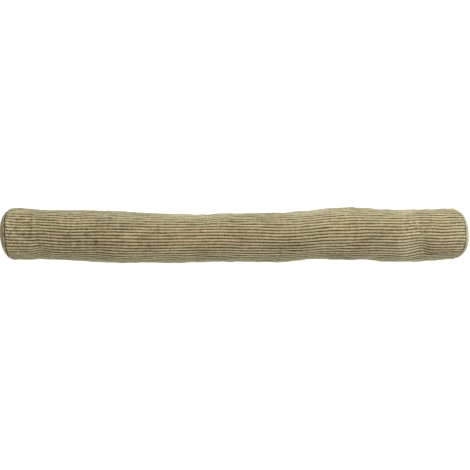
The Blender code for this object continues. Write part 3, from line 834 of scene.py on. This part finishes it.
def make_panel(end, material):
    """One end panel: a ribbed disc, domed, with its rim turned in and its plain back."""
    face, face_cloth, face_level, faces, rim = panel_face(end)
    rings = panel_rings(end, face[rim])
    outer = rim
    start = len(face)
    for _ in rings:
        inner = list(range(start, start + len(rim)))
        for k in range(len(rim)):
            beside = (k + 1) % len(rim)
            faces.append([outer[k], outer[beside], inner[beside], inner[k]])
        outer = inner
        start += len(rim)
    tip = inner_tip(end, -PIECE_GAP / 2)
    for k in range(len(rim)):
        faces.append([outer[k], outer[(k + 1) % len(rim)], start])
    points = np.concatenate([face, *rings, tip[None, :]])
    cloth = np.concatenate([face_cloth, *[face_cloth[rim]] * len(rings), np.zeros((1, 3))])
    # The panel's lip and back get lower levels: painted shade in the seam's fold
    back_shade_levels = [face_level[rim] * share for share in BACK_SHADE_LEVELS]
    level = np.concatenate([face_level, *back_shade_levels, np.zeros(1)])
    piece = cloth_piece(end["name"] + "_cover", points, faces, cloth, level, material)
    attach(piece, "root")
    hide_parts(end["name"])


class Shader:
    """Adds nodes to one material, each with its settings and inputs in a line."""

    def __init__(self, name):
        self.material = bpy.data.materials.new(name)
        self.material.use_nodes = True
        self.nodes = self.material.node_tree.nodes
        self.links = self.material.node_tree.links

    def add(self, kind, inputs, **settings):
        """A node of one kind, whose inputs are values or other nodes' outputs."""
        node = self.nodes.new(kind)
        for name, value in settings.items():
            setattr(node, name, value)
        for key, value in inputs.items():
            if isinstance(value, bpy.types.NodeSocket):
                self.links.new(value, node.inputs[key])
            else:
                node.inputs[key].default_value = value
        return node

    def math(self, operation, first, second, clamp=False):
        """A Math node's result."""
        inputs = {0: first, 1: second}
        return self.add("ShaderNodeMath", inputs, operation=operation, use_clamp=clamp).outputs[0]

    def attribute(self, name, output="Fac"):
        """One of the mesh's attributes, as a number or a vector."""
        return self.add("ShaderNodeAttribute", {}, attribute_name=name).outputs[output]

    def noise(self, vector, scale, detail, roughness):
        """A noise texture's value, from 0 to 1."""
        inputs = {"Vector": vector, "Scale": scale, "Detail": detail, "Roughness": roughness}
        return self.add("ShaderNodeTexNoise", inputs).outputs["Fac"]

    def scaled(self, vector, scale):
        """A vector with each part multiplied."""
        inputs = {0: vector, 1: scale}
        return self.add("ShaderNodeVectorMath", inputs, operation="MULTIPLY").outputs[0]

    def mix(self, factor, first, second, blend="MIX"):
        """Two colours mixed."""
        node = self.nodes.new("ShaderNodeMix")
        node.data_type = "RGBA"
        node.blend_type = blend
        for key, kind, value in (("Factor", "VALUE", factor), ("A", "RGBA", first), ("B", "RGBA", second)):
            socket = [s for s in node.inputs if s.name == key and s.type == kind][0]
            if isinstance(value, bpy.types.NodeSocket):
                self.links.new(value, socket)
            else:
                socket.default_value = value
        return [s for s in node.outputs if s.type == "RGBA"][0]


def pile_look(shader):
    """The pile's colour and relief: pale crowns, dark valleys partly darkened by painted shade, streaks, brown
    and green nap, nubs, and the patches' painted light and painted sheen.
    """
    level = shader.attribute("level")
    cloth = shader.attribute("cloth", "Vector")
    painted_sheen = shader.attribute("painted_sheen")
    lay = shader.add("ShaderNodeSeparateXYZ", {0: shader.attribute("nap", "Vector")})
    patch_tone_and_painted_light, lay_green, lay_nubby = lay.outputs
    place = shader.add("ShaderNodeTexCoord", {}).outputs["Object"]
    nubs, streaks, beads = [
        shader.noise(shader.scaled(cloth, scale), 1.0, detail, roughness)
        for scale, detail, roughness in (NUBS, STREAKS, BEADS)
    ]
    nap = shader.noise(place, *NAP)
    hue = shader.noise(shader.scaled(place, HUE_STRETCH), *HUE)
    blotches = shader.noise(shader.scaled(place, BLOTCH_STRETCH), *BLOTCHES)
    pile = shader.noise(place, *PILE)
    uneven = shader.math("MULTIPLY", shader.math("SUBTRACT", beads, 0.5), lay_nubby)
    raised = shader.math("MULTIPLY", shader.math("SUBTRACT", nubs, 0.5), NUB_RAISING)
    raised = shader.math("ADD", raised, shader.math("MULTIPLY", uneven, BEAD_RAISING))
    # The ribs go from the valley colour, partly painted shade, to the crown colour
    raised = shader.math("ADD", raised, shader.math("POWER", level, RIB_SHARPNESS), clamp=True)
    tone = shader.mix(raised, VALLEY, CROWN)
    least, most = HUE_RANGE
    hue = shader.add("ShaderNodeMapRange", {"Value": hue, "From Min": least, "From Max": most}).outputs[0]
    hue = shader.math("ADD", hue, lay_green, clamp=True)
    tone = shader.mix(1.0, tone, shader.mix(hue, BROWN_NAP, GREEN_NAP), "MULTIPLY")
    # The patches' tone, partly painted highlight and shade, brightens or darkens the pile
    light = shader.math("ADD", shader.math("MULTIPLY", patch_tone_and_painted_light, TONE_LIGHT), BASE_LIGHT)
    for part, share in ((streaks, STREAK_LIGHT), (nap, NAP_LIGHT), (uneven, BEAD_LIGHT)):
        light = shader.math("ADD", light, shader.math("MULTIPLY", part, share))
    grey = shader.add("ShaderNodeCombineColor", {0: light, 1: light, 2: light}).outputs[0]
    tone = shader.mix(1.0, tone, grey, "MULTIPLY")
    # Painted sheen: pale blotches where the patches paint sheen; the patches' tone, partly painted highlight,
    # pales the pile too
    sheen_paint_blotches = shader.math("SUBTRACT", blotches, SHEEN_PAINT_START)
    sheen_paint_blotches = shader.math("MULTIPLY", sheen_paint_blotches, SHEEN_PAINT_GAIN, clamp=True)
    sheen_paint_blotches = shader.math("MULTIPLY", painted_sheen, shader.math("MULTIPLY", sheen_paint_blotches, SHEEN_PAINT_PALENESS))
    pale = shader.math("MULTIPLY", patch_tone_and_painted_light, TONE_PALENESS, clamp=True)
    tone = shader.mix(shader.math("ADD", pale, sheen_paint_blotches, clamp=True), tone, PALE_NAP_AND_SHEEN_PAINT)
    fluff = shader.math("MULTIPLY", pile, BUMP_PILE)
    height = shader.math("ADD", shader.math("MULTIPLY", nubs, BUMP_NUBS), fluff)
    relief = {"Height": height, "Strength": BUMP_STRENGTH, "Distance": BUMP_DEPTH}
    return tone, shader.add("ShaderNodeBump", relief).outputs[0]


def corduroy(name, sheen):
    """The corduroy of one piece, with its own sheen."""
    shader = Shader(name)
    tone, bump = pile_look(shader)
    surface = shader.nodes["Principled BSDF"]
    shader.links.new(tone, surface.inputs["Base Color"])
    shader.links.new(bump, surface.inputs["Normal"])
    surface.inputs["Roughness"].default_value = CLOTH_ROUGHNESS
    surface.inputs["Specular IOR Level"].default_value = CLOTH_SPECULAR
    surface.inputs["Sheen Weight"].default_value = sheen
    surface.inputs["Sheen Roughness"].default_value = SHEEN_ROUGHNESS
    surface.inputs["Sheen Tint"].default_value = SHEEN_TINT
    return shader.material


def plain_surface(name, colour, roughness, glow):
    """A plain painted surface, lit from within by a light table's glow."""
    shader = Shader(name)
    surface = shader.nodes["Principled BSDF"]
    surface.inputs["Base Color"].default_value = colour
    surface.inputs["Roughness"].default_value = roughness
    surface.inputs["Specular IOR Level"].default_value = 0.0
    surface.inputs["Emission Color"].default_value = colour
    surface.inputs["Emission Strength"].default_value = glow
    return shader.material


def make_floor():
    """The pale floor under the tube."""
    bpy.ops.mesh.primitive_plane_add(size=FLOOR_SIZE, location=FLOOR_PLACE)
    floor = bpy.context.object
    floor.name = "floor"
    paint = plain_surface("floor_paint", FLOOR_COLOUR, FLOOR_ROUGHNESS, FLOOR_GLOW)
    floor.data.materials.append(paint)


def add_light(name, place, towards, size, power):
    """One soft square light, aimed at a point."""
    light = bpy.data.lights.new(name, "AREA")
    light.shape = "SQUARE"
    light.size = size
    light.energy = power
    lamp = bpy.data.objects.new(name, light)
    lamp.location = place
    lamp.rotation_euler = (Vector(towards) - Vector(place)).to_track_quat("-Z", "Y").to_euler()
    bpy.context.scene.collection.objects.link(lamp)


def light_studio():
    """An even white room with one large soft light over the tube's back."""
    world = bpy.data.worlds.new("studio")
    world.use_nodes = True
    background = world.node_tree.nodes["Background"]
    background.inputs["Color"].default_value = (1.0, 1.0, 1.0, 1.0)
    background.inputs["Strength"].default_value = WORLD_LIGHT
    bpy.context.scene.world = world
    add_light("key_light", KEY_PLACE, KEY_AIM, KEY_SIZE, KEY_LIGHT)
    bpy.context.scene.view_settings.view_transform = "Standard"


def place_camera():
    """The camera straight above, with the tube's back at the top of the picture."""
    camera = bpy.data.cameras.new("camera")
    camera.lens = LENS
    camera.sensor_width = SENSOR
    holder = bpy.data.objects.new("camera", camera)
    holder.location = CAMERA_PLACE
    bpy.context.scene.collection.objects.link(holder)
    bpy.context.scene.camera = holder


place_camera()
light_studio()
make_floor()
make_sleeve(corduroy("sleeve_corduroy", SHEEN))
for panel_end in rows(END_COLUMNS, ENDS):
    make_panel(panel_end, corduroy(panel_end["name"] + "_corduroy", panel_end["sheen"]))
